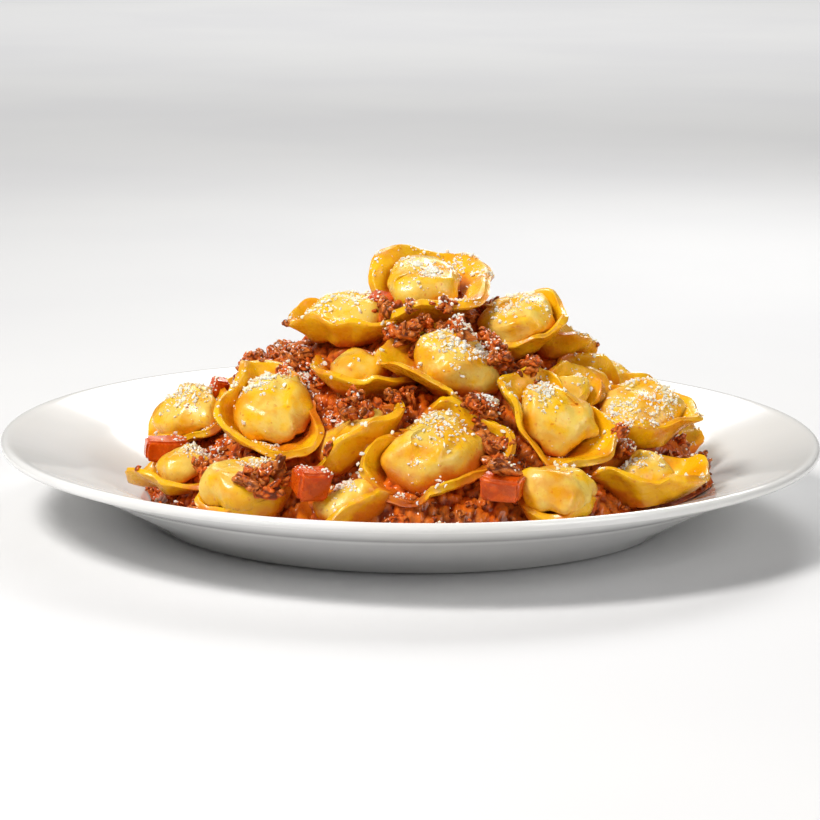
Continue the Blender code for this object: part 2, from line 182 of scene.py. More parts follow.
class Recipe:
    """One material and the nodes of its look."""

    def __init__(self, name):
        self.material = bpy.data.materials.new(name)
        self.material.use_nodes = True
        self.tree = self.material.node_tree
        self.shader = self.tree.nodes["Principled BSDF"]

    def add(self, kind, settings, links, output=0):
        """Add a node with its settings and sockets, and return one of its outputs."""
        node = self.tree.nodes.new(kind)
        for key, value in settings.items():
            setattr(node, key, value)
        for key, value in links.items():
            self.feed(node.inputs[key], value)
        return Value(self, node.outputs[output])

    def feed(self, socket, value):
        """Give a socket a value, or the link of another socket."""
        if isinstance(value, Value):
            self.tree.links.new(value.socket, socket)
        elif socket.type == "RGBA":
            socket.default_value = (*value, 1)
        else:
            socket.default_value = value

    def noise(self, scale, detail=2, roughness=0.5, offset=0):
        """Return smooth noise of about 1/scale metres across, from 0 to 1."""
        place = self.add("ShaderNodeTexCoord", {}, {}, output=3)
        shift = (offset, 2 * offset, -offset)
        moved = self.add("ShaderNodeVectorMath", {"operation": "ADD"}, {0: place, 1: shift})
        return self.add(
            "ShaderNodeTexNoise",
            {},
            {"Vector": moved, "Scale": scale, "Detail": detail, "Roughness": roughness},
        )

    def ramp(self, value, low, high, first=0, last=1):
        """Return a smooth rise from first to last while value goes from low to high."""
        return self.add(
            "ShaderNodeMapRange",
            {"interpolation_type": "SMOOTHSTEP"},
            {"Value": value, "From Min": low, "From Max": high, "To Min": first, "To Max": last},
        )

    def mask(self, name):
        """Return a mask that is stored on the mesh."""
        return self.add("ShaderNodeAttribute", {"attribute_name": name}, {}, output=2)

    def blend(self, factor, first, second):
        """Return a colour between two colours."""
        return self.add(
            "ShaderNodeMix",
            {"data_type": "RGBA", "clamp_factor": True},
            {0: factor, 6: first, 7: second},
            output=2,
        )

    def over(self, colour, top, value, low, high, most=1):
        """Return a colour with another laid over it where value goes from low to high."""
        return self.blend(self.ramp(value, low, high, 0, most), colour, top)

    def bump(self, height, strength, distance):
        """Lead a height to the shader's normal."""
        links = {"Height": height, "Strength": strength, "Distance": distance}
        self.feed(self.shader.inputs["Normal"], self.add("ShaderNodeBump", {}, links))

    def finish(self, colour, roughness, fixed):
        """Lead colour and roughness to the shader and set what is the same all over."""
        self.feed(self.shader.inputs["Base Color"], colour)
        self.feed(self.shader.inputs["Roughness"], roughness)
        for name, value in fixed.items():
            self.feed(self.shader.inputs[name], value)
        return self.material


# ---- finishes

def tinted(colour, red, green, blue):
    """Return a colour with each of its channels scaled."""
    return colour[0] * red, colour[1] * green, colour[2] * blue


def flesh(weight, red, green, blue):
    """Return how light sinks into a soft food, with its reach in metres for each channel."""
    return {
        "Subsurface Weight": weight,
        "Subsurface Radius": (red, green, blue),
        "Subsurface Scale": 0.5,
    }


WET_MEAT = {
    "IOR": 1.42,
    "Specular IOR Level": 0.25,
    "Specular Tint": (1, 0.7, 0.4),
    "Coat Tint": (1, 0.88, 0.75),
    "Coat Weight": 0.6,
    "Coat Roughness": 0.03,
}


def glaze_finish(settings):
    """Return white glazed porcelain with a faint ripple and a thin clear coat."""
    recipe = Recipe("glazed_porcelain")
    warm = tinted(settings.glaze, 0.985, 0.978, 0.96)
    colour = recipe.over(settings.glaze, warm, recipe.noise(14, 3), 0.35, 0.65)
    roughness = recipe.ramp(recipe.noise(40, 4, offset=1), 0.3, 0.7, 0.1, 0.17)
    recipe.bump(recipe.noise(55, 2, offset=2), 0.05, 0.001)
    return recipe.finish(colour, roughness, {"IOR": 1.5, "Coat Weight": 0.35, "Coat Roughness": 0.05})


def pasta_finish(settings):
    """Return wet egg dough, orange where the sauce gathers, paler over the filling, and darker with
    painted shade in the crease and low among the pieces.
    """
    recipe = Recipe("egg_pasta")
    broad = recipe.noise(90, 2)
    fine = recipe.noise(420, 4, 0.6, offset=0.3)
    streak = recipe.noise(170, 3, offset=0.7)
    pale = recipe.ramp(streak, 0.36, 0.58) * recipe.mask("pouch")
    colour = recipe.blend(pale, settings.dough, settings.pale_dough)
    deep = tinted(settings.dough, 0.9, 0.7, 0.35)
    colour = recipe.over(colour, deep, broad, 0.46, 0.7)
    # sauce film, laid thickest in the crease above the pouch and low down near the sauce bed, where it
    # is partly painted shade
    cling = recipe.mask("soak") * 0.75 + recipe.mask("fold") * 0.65 + recipe.mask("rim") * 0.25
    cling = cling + streak * 0.8 + fine * 0.35
    colour = recipe.over(colour, settings.film, cling, 0.78, 1.2, 0.92)
    # painted shade: a darker film where the crease and the low places add up
    dark = tinted(settings.film, 0.6, 0.38, 0.4)
    colour = recipe.over(colour, dark, cling, 1.15, 1.6, 0.85)
    smear = recipe.noise(85, 4, 0.6, offset=0.55)
    colour = recipe.over(colour, settings.film, smear, 0.5, 0.68, 0.5)
    speck = recipe.noise(640, 2, offset=0.9)
    colour = recipe.over(colour, settings.film, speck, 0.64, 0.72, 0.55)
    roughness = recipe.ramp(fine, 0.3, 0.7, 0.2, 0.42)
    recipe.bump(recipe.noise(700, 5, 0.6, offset=0.5), 0.25, 0.0007)
    wet = {"IOR": 1.4, "Coat Weight": 0.3, "Coat Roughness": 0.09}
    return recipe.finish(colour, roughness, wet | flesh(0.1, 0.004, 0.0022, 0.0008))


def sauce_finish(settings):
    """Return oily tomato sauce, with painted shade between its grains and a painted highlight of paler
    orange on their tops.
    """
    recipe = Recipe("meat_sauce")
    grain = recipe.mask("grain")
    broad = recipe.noise(150, 4)
    fine = recipe.noise(800, 4, 0.6, offset=0.2)
    dark = tinted(settings.sauce, 0.32, 0.2, 0.3)
    light = tinted(settings.sauce, 1.35, 2.1, 1.6)
    colour = recipe.over(settings.mince, settings.sauce, broad, 0.4, 0.62)
    # painted shade: darker between the grains of the relief, where shade falls
    crevice_shade = (1 - recipe.ramp(grain + fine * 0.5, 0.3, 0.85)) * 0.9
    colour = recipe.blend(crevice_shade, colour, dark)
    # painted highlight: paler orange on the tops of the grains
    colour = recipe.over(colour, light, grain * 0.6 + fine, 0.75, 1.2, 0.7)
    roughness = recipe.ramp(recipe.noise(300, 3, offset=0.4), 0.3, 0.7, 0.3, 0.5)
    recipe.bump(recipe.noise(420, 2, offset=0.9), 0.5, 0.0012)
    return recipe.finish(colour, roughness, WET_MEAT)


def mince_finish(settings):
    """Return browned mince, each clump of its own tone, greasy with sauce, with painted shade between
    its lobes and painted highlights on their tops.
    """
    recipe = Recipe("mince")
    grain = recipe.mask("grain")
    patch = recipe.noise(520, 4, 0.6)
    fine = recipe.noise(1500, 4, 0.65, offset=0.6)
    dark = tinted(settings.mince, 0.3, 0.19, 0.16)
    pale = tinted(settings.mince, 1.7, 1.95, 1.9)
    colour = recipe.over(settings.mince, settings.sauce, recipe.mask("tone"), 0.3, 0.7)
    # painted shade: darker between the lobes of each clump, where shade falls
    crevice_shade = (1 - recipe.ramp(grain + patch * 0.5, 0.3, 0.9)) * 0.9
    colour = recipe.blend(crevice_shade, colour, dark)
    # painted highlight: paler on the tops of the lobes
    colour = recipe.over(colour, pale, grain * 0.6 + fine, 0.8, 1.2, 0.85)
    roughness = recipe.ramp(patch, 0.3, 0.7, 0.32, 0.55)
    recipe.bump(recipe.noise(700, 3, offset=0.9), 0.6, 0.001)
    return recipe.finish(colour, roughness, WET_MEAT)


def carrot_finish(settings):
    """Return wet orange carrot with darker streaks."""
    recipe = Recipe("carrot")
    streak = recipe.noise(260, 4, 0.6)
    deep = tinted(settings.carrot, 0.8, 0.5, 0.4)
    light = tinted(settings.carrot, 1.15, 1.7, 1.6)
    film = tinted(settings.sauce, 0.7, 0.5, 0.5)
    colour = recipe.over(deep, settings.carrot, streak, 0.35, 0.65)
    speck = recipe.noise(700, 3, offset=0.8)
    colour = recipe.over(colour, light, speck, 0.58, 0.72, 0.6)
    cling = recipe.noise(150, 4, 0.6, offset=0.2)
    colour = recipe.over(colour, film, cling, 0.46, 0.62, 0.75)
    roughness = recipe.ramp(streak, 0.3, 0.7, 0.16, 0.36)
    recipe.bump(recipe.noise(850, 4, 0.6, offset=0.1), 0.4, 0.0006)
    wet = {"IOR": 1.45, "Specular Tint": (1, 0.7, 0.4), "Coat Weight": 0.3, "Coat Roughness": 0.06}
    return recipe.finish(colour, roughness, wet | flesh(0.1, 0.004, 0.0012, 0.0006))


def cheese_finish(settings):
    """Return dry grated cheese, cream with yellower bits."""
    recipe = Recipe("grated_cheese")
    warm = tinted(settings.cheese, 1, 0.95, 0.82)
    colour = recipe.over(settings.cheese, warm, recipe.mask("tone"), 0.3, 0.9)
    roughness = recipe.ramp(recipe.noise(600), 0.3, 0.7, 0.5, 0.7)
    recipe.bump(recipe.noise(2500, 3, offset=0.4), 0.3, 0.0003)
    return recipe.finish(colour, roughness, flesh(0.5, 0.002, 0.0016, 0.001))


# ---- common tools

def smooth_step(low, high, value):
    """Return the smooth rise from 0 at low to 1 at high."""
    t = np.clip((value - low) / (high - low), 0, 1)
    return t * t * (3 - 2 * t)


def make_piece(name, points, faces, material, masks=None, sharp=40):
    """Link a new smooth object of points in mm, with masks stored on its points."""
    mesh = bpy.data.meshes.new(name)
    mesh.from_pydata((np.asarray(points, float) * MM).tolist(), [], faces)
    mesh.materials.append(material)
    mesh.update()
    for key, values in (masks or {}).items():
        mesh.attributes.new(key, "FLOAT", "POINT").data.foreach_set("value", np.asarray(values, float))
    mesh.shade_smooth()
    mesh.set_sharp_from_angle(angle=math.radians(sharp))
    piece = bpy.data.objects.new(name, mesh)
    bpy.context.scene.collection.objects.link(piece)
    return piece


def ring_faces(rows, columns):
    """Return the faces of rows of points whose columns close on themselves."""
    faces = []
    for a in range(0, (rows - 1) * columns, columns):
        for j in range(columns):
            k = (j + 1) % columns
            faces.append((a + j, a + k, a + columns + k, a + columns + j))
    return faces


class Bunch:
    """Many small solids that are gathered into one mesh."""

    def __init__(self):
        self.points = []
        self.faces = []
        self.masks = {}
        self.count = 0

    def add(self, points, faces, masks):
        """Add one solid with its masks, each one number or one for each point."""
        self.points.append(points)
        self.faces += [tuple(index + self.count for index in face) for face in faces]
        for key, values in masks.items():
            column = np.broadcast_to(np.asarray(values, float), (len(points),))
            self.masks.setdefault(key, []).append(column)
        self.count += len(points)

    def make(self, name, material, sharp=40):
        """Return the object made of all that was gathered."""
        masks = {key: np.concatenate(columns) for key, columns in self.masks.items()}
        return make_piece(name, np.concatenate(self.points), self.faces, material, masks, sharp)


def points_and_faces(form):
    """Return a bmesh's points and faces, and let it go."""
    points = np.array([vert.co[:] for vert in form.verts])
    faces = [tuple(vert.index for vert in face.verts) for face in form.faces]
    form.free()
    return points, faces


def ball(level):
    """Return the points and faces of a ball of radius 1."""
    form = bmesh.new()
    bmesh.ops.create_icosphere(form, subdivisions=level, radius=1)
    return points_and_faces(form)


def any_turn(rng):
    """Return a random turn as a 3 x 3 array."""
    axis = Vector((rng.gauss(0, 1), rng.gauss(0, 1), rng.gauss(0, 1))).normalized()
    return np.array(Matrix.Rotation(rng.uniform(0, math.tau), 3, axis))


def turned(*turns):
    """Return turns about named axes, in degrees, as one 3 x 3 array."""
    whole = Matrix.Identity(3)
    for axis, degrees in turns:
        whole = whole @ Matrix.Rotation(math.radians(degrees), 3, axis)
    return np.array(whole)


def settings_of(group):
    """Return one group of the scene's settings."""
    return getattr(bpy.context.scene, group)


# ---- plate

PLATE_RADIUS = 130
RIM_HEIGHT = 26
RIM_SLOPE = 0.33
RIM_THICKNESS = 3.2
WALL_RADIUS = 108
WELL_RADIUS = 76
WELL_HEIGHT = 6.5
FOOT_OUTER = 83
FOOT_WIDTH = 3.2
FOOT_HEIGHT = 4.5
FOOT_FLARE = 6
RECESS_HEIGHT = 2.5
WALL_THICKNESS = 4.8
ROOT_THICKNESS = 4.2
WALL_SOFTNESS = 7
FOOT_SOFTNESS = 0.9
PLATE_SECTORS = 144


def dish_height(radius):
    """Return the height of the plate's upper surface at distances from its middle, in mm."""
    wall_top = WALL_RADIUS - 2
    rim_edge = PLATE_RADIUS - 2
    wall_top_height = RIM_HEIGHT - RIM_SLOPE * (rim_edge - wall_top)
    span = wall_top - WELL_RADIUS
    t = np.clip((radius - WELL_RADIUS) / span, 0, 1)
    rise = (wall_top_height - WELL_HEIGHT) * t * t * (3 - 2 * t)
    slope = RIM_SLOPE * span * (t ** 3 - t ** 2)
    return WELL_HEIGHT + rise + slope + RIM_SLOPE * np.maximum(radius - wall_top, 0)


def soften(points, radius, steps):
    """Return a polyline with its inner corners rounded off over a distance."""
    out = [points[0]]
    for before, corner, after in zip(points, points[1:], points[2:]):
        a = np.array(before) - corner
        b = np.array(after) - corner
        reach = min(radius, 0.45 * np.linalg.norm(a), 0.45 * np.linalg.norm(b))
        start = corner + a / np.linalg.norm(a) * reach
        end = corner + b / np.linalg.norm(b) * reach
        for t in np.linspace(0, 1, steps):
            out.append((1 - t) ** 2 * start + 2 * t * (1 - t) * np.array(corner) + t * t * end)
    out.append(points[-1])
    return [tuple(point) for point in out]


def plate_section():
    """Return the half section of the plate, from the upper middle out and round to below."""
    section = [(radius, float(dish_height(radius))) for radius in np.linspace(0.5, 70, 12)]
    section += [(radius, float(dish_height(radius))) for radius in np.linspace(72, 127.4, 44)]
    lip = RIM_THICKNESS / 2
    for degrees in np.linspace(84, -50, 14):
        angle = math.radians(degrees)
        across = PLATE_RADIUS - lip + lip * math.cos(angle)
        section.append((across, RIM_HEIGHT - lip + lip * math.sin(angle)))
    below = [
        section.pop(),
        (WALL_RADIUS + 2, float(dish_height(WALL_RADIUS + 2)) - ROOT_THICKNESS),
        (WALL_RADIUS, float(dish_height(WALL_RADIUS)) - WALL_THICKNESS),
        (FOOT_OUTER + FOOT_FLARE, FOOT_HEIGHT),
        (FOOT_OUTER, 0),
        (FOOT_OUTER - FOOT_WIDTH, 0),
        (FOOT_OUTER - FOOT_WIDTH - 2, RECESS_HEIGHT),
        (0.5, RECESS_HEIGHT),
    ]
    upper = soften(below[:4], WALL_SOFTNESS, 9)[:-1]
    lower = soften(below[3:], FOOT_SOFTNESS, 5)
    return section + upper + lower


class PASTA_OT_add_plate(bpy.types.Operator):
    """Turn the plate's section into glazed porcelain"""

    bl_idname = "pasta_plate.add_plate"
    bl_label = "Plate"

    def execute(self, context):
        settings = settings_of("pasta_plate_plate")
        section = plate_section()
        scale = settings.radius / (PLATE_RADIUS * MM)
        rise = settings.height / (RIM_HEIGHT * MM)
        points = []
        for radius, height in section:
            for sector in range(PLATE_SECTORS):
                angle = math.tau * sector / PLATE_SECTORS
                reach = radius * scale
                points.append((reach * math.sin(angle), -reach * math.cos(angle), height * rise))
        faces = ring_faces(len(section), PLATE_SECTORS)
        last = (len(section) - 1) * PLATE_SECTORS
        faces.append(tuple(reversed(range(PLATE_SECTORS))))
        faces.append(tuple(last + k for k in range(PLATE_SECTORS)))
        plate = make_piece("plate_glazed", points, faces, glaze_finish(settings))
        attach(plate, BODY)
        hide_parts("plate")
        return {"FINISHED"}


# ---- tortellini

RING_RADIUS = 6.2
SPIRAL = 1.2
OVERLAP = 0.12
PLAN_WIDTH = 1.08
PLAN_DEPTH = 0.92
HOLE_RADIUS = 0.8
BELLY = 5.3
BELLY_DEPTH = 12.5
BRIM_HALF = 1.1
BRIM_BEND = 9.4
LEAST_CURL = 20
MOST_CURL = 160
POUCH_LEAN = 12
PATH_STEPS = 64
TUCK = 3.2
POUCH_MIDDLE = (0, -2, -7)
PIECE_REST = 1.5
STATIONS = 86
CRUMPLE = 0.9
CORNER = 0.42
PLEAT = 0.055
CORNER_WIDTH = 0.3

HEAP_X = 6
HEAP_TOP = 86
HEAP_RADIUS = 93
BACK_SAG = 12
SAG_FROM = -15
SAG_TO = 25
MOUND_X = -48
MOUND_Y = -9
MOUND_RISE = 7
MOUND_WIDTH = 15

# name, x, y, z of the pouch's middle (mm), heading, tilt, spin (degrees), size, fill,
# flap (mm), curl, sway, ruffle, phase (degrees)
FRONT_PIECES = (
    ("summit", 6, -14, 73.2, 4, 19, 95, 1.32, 0.80, 27, 132, 0, 16, 210),
    ("shoulder_left", -21, -20, 64, -10, 8, 5, 1.02, 0.95, 27, 145, 0, 12, 80),
    ("ledge_left", -15, -38, 50, -4, 6, 5, 0.98, 0.85, 28, 140, 0, 12, 200),
    ("shoulder_right", 33, -26, 64, -20, 36, 45, 1.00, 0.98, 25, 146, 0, 10, 120),
    ("wing_right", 42, -8, 57, 130, 30, 20, 0.95, 0.85, 28, 140, 0, 12, 300),
    ("heart", 12, -45, 55, 40, 40, -45, 1.04, 0.98, 29, 118, 0, 16, 80),
    ("big_left", -43, -46, 41, -12, 36, -55, 1.10, 1.00, 28, 146, 0, 14, 145),
    ("edge_left", -70, -22, 34, -50, 48, 20, 0.98, 1.00, 25, 136, 0, 14, 60),
    ("low_left", -71, -42, 21, -25, 10, 0, 0.90, 0.70, 25, 125, 0, 12, 90),
    ("base_left", -50, -68, 11, -20, 14, 10, 1.05, 1.00, 21, 150, 0, 10, 0),
    ("crescent", -17, -60, 34, -70, 34, 60, 1.00, 0.85, 28, 145, 0, 10, 30),
    ("front_bowl", 7, -71, 32, 8, 52, 25, 1.18, 1.04, 29, 150, 0, 12, 65),
    ("base_front", -18, -76, 15, -65, 20, 60, 0.95, 0.90, 27, 145, 0, 10, 0),
    ("long_lip", 42, -55, 40, 15, 48, -50, 1.00, 0.94, 30, 146, 0, 12, 110),
    ("brow_right", 70, -33, 37.5, 6, 22, 15, 1.05, 1.08, 28, 145, 0, 14, 80),
    ("loop_right", 57, -46, 31, 75, 60, 80, 0.85, 0.85, 26, 120, 0, 10, 0),
    ("ear_high", 57, -24, 45, 40, 55, 120, 0.72, 0.85, 26, 120, 0, 12, 30),
    ("ear_low", 48, -34, 46, 10, 60, 200, 0.62, 0.85, 26, 120, 0, 10, 50),
    ("boat_right", 71, -55, 20, 5, 10, 15, 1.02, 0.70, 28, 140, 0, 12, 130),
    ("base_right", 43, -78, 9, 10, 6, 10, 0.98, 1.05, 20, 150, 0, 8, 0),
    ("flap_right", 79, 2, 32, 60, 40, 60, 0.95, 0.85, 27, 120, 0, 14, 80),
    ("saddle_left", -46, 15, 37, -75, 25, 30, 1.05, 0.90, 26, 138, 0, 12, 250),
    ("crown_back", 3, 15, 64, 170, 35, 15, 0.95, 0.90, 26, 138, 0, 12, 60),
)

# The far side is laid in rings: ring radius, height, first and last bearing, count, tilt.
BACK_RINGS = (
    (76, 20, 104, 266, 8, 36),
    (50, 40, 98, 228, 5, 38),
    (28, 58, 120, 248, 3, 30),
)


def back_pieces():
    """Return rows like FRONT_PIECES for the rings that close the far side of the heap."""
    rows = []
    for ring, (radius, height, first, last, count, tilt) in enumerate(BACK_RINGS):
        for k in range(count):
            number = len(rows)
            share = k / (count - 1)
            bearing = math.radians(first + (last - first) * share)
            reach = radius + 3 * math.sin(2.4 * number)
            rows.append((
                f"back_{ring + 1}{chr(97 + k)}",
                HEAP_X * (0.6 + 0.2 * ring) + reach * math.sin(bearing),
                -reach * math.cos(bearing),
                height + 2.5 * math.sin(1.7 * number + 1),
                math.degrees(bearing) + 25 * math.sin(3.1 * number),
                tilt + 22 * math.sin(2 * number + 0.5),
                45 * math.sin(4.3 * number + 0.8),
                1.03 + 0.07 * math.sin(1.3 * number),
                0.9 + 0.1 * math.sin(2.2 * number),
                26 + 1.5 * math.sin(3.7 * number),
                130 + 18 * math.sin(2.7 * number + 2),
                10 * math.sin(1.9 * number),
                14,
                137 * number,
            ))
    return rows


CAP_STEPS = (0.16, 0.36, 0.56, 0.76, 0.9)
# stop and side of each row round the brim's edge
EDGE_ROWS = ((1.97, 1), (2, 0.72), (1.985, 0.1), (2, -0.72), (1.97, -1))
UNDER_STOPS = (1.85, 1.65, 1.45, 1.28, 1.12)


def row_stops():
    """Return each row's stop and side, from the fold out over the brim and back under it.

    Stops run from 0 at the fold over 1 at the seal to 2 at the brim's edge. The side is 1 on
    the dough's outer face and -1 on its inner one.
    """
    pouch = 0.5 - 0.5 * np.cos(np.linspace(0.03, 1, 14) * np.pi)
    brim = 1 + np.linspace(0.07, 0.92, 12)
    outer = [(stop, 1) for stop in (0, *pouch, *brim)]
    under = [(stop, -1) for stop in UNDER_STOPS]
    return np.array([*outer, *EDGE_ROWS, *under]).T


def pouch_swell(stop):
    """Return how full the pouch is at each stop, round above and running out softly below."""
    t = np.clip(stop, 0, 1)
    upper = np.sqrt(np.clip(1 - (2 * t - 1) ** 2, 0, 1))
    lower = np.clip(1 - (2 * t - 1) ** 2, 0, 1) ** 0.8
    return np.where(t < 0.5, upper, lower)


def brim_turn(bearing, curl, sway, ruffle, phase):
    """Return how far the dough has turned outward at its edge, in radians, for each station."""
    turn = curl + sway * np.sin(bearing) + ruffle * np.sin(2 * bearing + phase)
    turn = turn + 0.6 * ruffle * np.sin(3 * bearing + 2 * phase)
    turn = turn + 0.1 * ruffle * np.sin(7 * bearing + 4 * phase)
    return np.radians(np.clip(turn, LEAST_CURL, MOST_CURL))


def dough_path(turn, depth, reach):
    """Return the dough's way from fold to edge, a row for each station.

    The four arrays hold the length along the dough, its lean, and how far it has come down
    and out.
    """
    along = np.linspace(0, 1, PATH_STEPS)[None, :] * reach
    lean = turn * smooth_step(0.7 * depth, 0.7 * depth + BRIM_BEND, along)
    lean = lean - math.radians(POUCH_LEAN) * (1 - smooth_step(0, depth, along))
    middle = (lean[:, 1:] + lean[:, :-1]) / 2
    pace = np.diff(along, axis=1)
    start = np.zeros((STATIONS, 1))
    down = np.concatenate([start, -np.cumsum(np.cos(middle) * pace, axis=1)], axis=1)
    out = np.concatenate([start, np.cumsum(np.sin(middle) * pace, axis=1)], axis=1)
    return along, lean, down, out


def belly_bulge(bearing, phase, rng):
    """Return the pouch's fullness at each station, about 1, with one fuller corner."""
    corner = (phase + math.pi) % math.tau - math.pi
    return (
        1
        + 0.07 * np.sin(2 * bearing + rng.uniform(0, math.tau))
        + 0.06 * np.sin(3 * bearing + rng.uniform(0, math.tau))
        + 0.04 * np.sin(5 * bearing + rng.uniform(0, math.tau))
        + CORNER * np.exp(-((bearing - corner) / CORNER_WIDTH) ** 2)
    )


def crown_rows(plan, ring, rng):
    """Return the rows that close the crown, with a dimple where the dough dips into the ring."""
    hole = rng.uniform(0.4, 1.8)
    hole_x = rng.uniform(-1.6, 1.6)
    hole_y = rng.uniform(1.2, 3.6)
    rows = []
    for share in CAP_STEPS:
        flat = plan * ring * share
        away = np.hypot(flat[:, 0] - hole_x, flat[:, 1] - hole_y)
        height = 0.9 * (1 - share ** 2) ** 2 - hole * np.exp(-away ** 2 / 14)
        rows.append(np.column_stack([flat, height]))
    return rows


def tortellino_form(fill, flap, curl, sway, ruffle, phase, rng):
    """Return one piece's rows of points in mm, crown up, with each row's stop and side.

    A station is a place along the fold from one tip to the other, and a row holds one point
    of every station. The tips pass each other, the last one outside the first.
    """
    station = np.linspace(-1, 1, STATIONS)[:, None]
    bearing = math.pi * (1 + OVERLAP) * station
    phase = math.radians(phase)
    length = np.abs(station) * 0.994
    reach = flap * np.sqrt(1 - length ** TUCK)
    reach = reach * (1 + 0.035 * np.sin(4 * bearing + 3 * phase))
    arch = np.sqrt(np.clip(1 - (length / 0.95) ** 2.2, 0, 1))
    filling = 0.5 + 0.5 * arch
    depth = BELLY_DEPTH * (0.5 + 0.5 * fill) * (0.55 + 0.45 * filling)
    depth = np.minimum(depth, 0.8 * reach)
    along, *path = dough_path(brim_turn(bearing, curl, sway, ruffle, phase), depth, reach)
    stop, side = row_stops()
    swell = np.where(side > 0, pouch_swell(stop), 0)
    place = np.where(stop < 1, stop * depth, depth + (stop - 1) * (reach - depth))
    ring = RING_RADIUS * (0.4 + 0.6 * fill) * (1 + 0.12 * np.cos(bearing))
    station, bearing = station[:, 0], bearing[:, 0]
    plan = np.column_stack([PLAN_WIDTH * np.sin(bearing), -PLAN_DEPTH * np.cos(bearing)])
    belly = BELLY * fill * filling[:, 0] * belly_bulge(bearing, phase, rng)
    pleat = [(count, rng.uniform(0, math.tau), rng.uniform(-3, 3)) for count in (5, 8, 13)]
    rows = crown_rows(plan, ring + 0.25 * SPIRAL * station[:, None], rng)
    for k in range(len(stop)):
        angle, drop, wide = (
            np.array([np.interp(place[i, k], along[i], values[i]) for i in range(STATIONS)])
            for values in path
        )
        pleats = sum(np.sin(count * bearing + first + twist * stop[k]) for count, first, twist in pleat)
        full = belly * (1 + PLEAT * pleats * smooth_step(0.2, 0.7, stop[k]))
        half = BRIM_HALF * side[k] * min(1, 4 * stop[k]) + full * swell[k]
        spiral = SPIRAL * (0.25 + 0.75 * min(stop[k], 1)) * station
        radius = np.maximum(ring[:, 0] + spiral + wide + np.cos(angle) * half, HOLE_RADIUS)
        rows.append(np.column_stack([plan * radius[:, None], drop + np.sin(angle) * half]))
    stops_of_rows = np.concatenate([np.zeros(len(CAP_STEPS)), stop])
    sides_of_rows = np.concatenate([np.ones(len(CAP_STEPS)), side])
    return rows, stops_of_rows, sides_of_rows


def shell_faces(rows, columns):
    """Return the faces of an open ring of sections that share a crown point and a low point."""
    crown = rows * columns
    low = crown + 1
    faces = []
    for j in range(columns - 1):
        faces.append((crown, j, j + 1))
        faces.append((low, crown - columns + j + 1, crown - columns + j))
        for i in range(rows - 1):
            a = i * columns + j
            faces.append((a, a + columns, a + columns + 1, a + 1))
    for j in (0, columns - 1):
        end = [crown] + [i * columns + j for i in range(rows)] + [low]
        faces.append(tuple(end[::-1] if j == 0 else end))
    return faces


def crumple(points, amount, rng):
    """Push points about by a smooth random field, so that no two pieces are alike."""
    moved = points.copy()
    for wave, share in ((20, 1), (12, 0.55), (7, 0.28), (4.2, 0.12)):
        for axis in range(3):
            direction = np.array([rng.gauss(0, 1) for _ in range(3)])
            direction *= math.tau / wave / np.linalg.norm(direction)
            swing = amount * share * np.sin(points @ direction + rng.uniform(0, math.tau))
            moved[:, axis] += swing
    return moved


def tortellino_solid(row):
    """Return one piece's points laid in place in mm, its faces, and each point's stop and side."""
    name, x, y, z, heading, tilt, spin, size, *form = row
    rng = random.Random(name)
    rows, stop, side = tortellino_form(*form, rng)
    crown = rows[0].mean(axis=0)
    low = rows[-1].mean(axis=0)
    low[2] = rows[-1][:, 2].min() + 1
    points = crumple(np.vstack([*rows, crown, low]), CRUMPLE, rng)
    turn = turned(("Z", heading), ("X", tilt), ("Z", spin))
    placed = ((points - POUCH_MIDDLE) * size) @ turn.T + np.array([x, y, z])
    floor = dish_height(np.hypot(placed[:, 0], placed[:, 1])) + PIECE_REST
    placed[:, 2] += max((floor - placed[:, 2]).max(), 0)
    stop = np.concatenate([np.repeat(stop, STATIONS), [0, 1.2]])
    side = np.concatenate([np.repeat(side, STATIONS), [1, -1]])
    return placed, shell_faces(len(rows), STATIONS), stop, side


def lay_tortellino(row, material):
    """Build one tortellino and lay it in its place on the heap."""
    name = row[0]
    placed, faces, stop, side = tortellino_solid(row)
    # the fold and low masks lay sauce film and painted shade on the dough
    masks = {
        "pouch": 1 - smooth_step(0.6, 1, stop),
        "fold": np.exp(-((stop - 1.06) / 0.13) ** 2) * (side > 0),
        "rim": smooth_step(1.8, 2, stop),
        "soak": 1 - smooth_step(1, 11, placed[:, 2] - heap_height(placed[:, 0], placed[:, 1])),
    }
    piece = make_piece("tortellino_" + name, placed, faces, material, masks, 50)
    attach(piece, BODY)
    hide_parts(name)
    return piece


class PASTA_OT_add_tortellini(bpy.types.Operator):
    """Fold every tortellino and lay it on the heap"""

    bl_idname = "pasta_plate.add_tortellini"
    bl_label = "Tortellini"

    def execute(self, context):
        material = pasta_finish(settings_of("pasta_plate_pasta"))
        for row in [*FRONT_PIECES, *back_pieces()]:
            lay_tortellino(row, material)
        return {"FINISHED"}


# ---- meat sauce

SAUCE_SEED = 11
SAUCE_GRID = 270
SAUCE_SINK = 0.8
SAUCE_GAP = 0.3
SAUCE_FILM = 0.5
SAUCE_SHIFT = 0.7
BACK_SHRINK = 9


def heap_height(x, y):
    """Return the height of the sauce's own surface at places under the pasta, in mm."""
    radius = np.hypot(x - HEAP_X, y)
    bearing = np.arctan2(x - HEAP_X, -y)
    lobes = 2 * np.sin(5 * bearing + 0.7) + 1.4 * np.sin(9 * bearing + 2)
    share = np.minimum(radius / HEAP_RADIUS, 1)
    crown = (HEAP_TOP - 14) * (1 - share) ** 0.85
    clumps = 1.6 * np.sin(0.42 * x + 1) * np.sin(0.37 * y + 2)
    sag = BACK_SAG * smooth_step(SAG_FROM, SAG_TO, y)
    away = np.hypot(x - MOUND_X, y - MOUND_Y)
    mound = MOUND_RISE * np.exp(-((away / MOUND_WIDTH) ** 2))
    return WELL_HEIGHT + crown + 1.5 + lobes * share + clumps - sag + mound


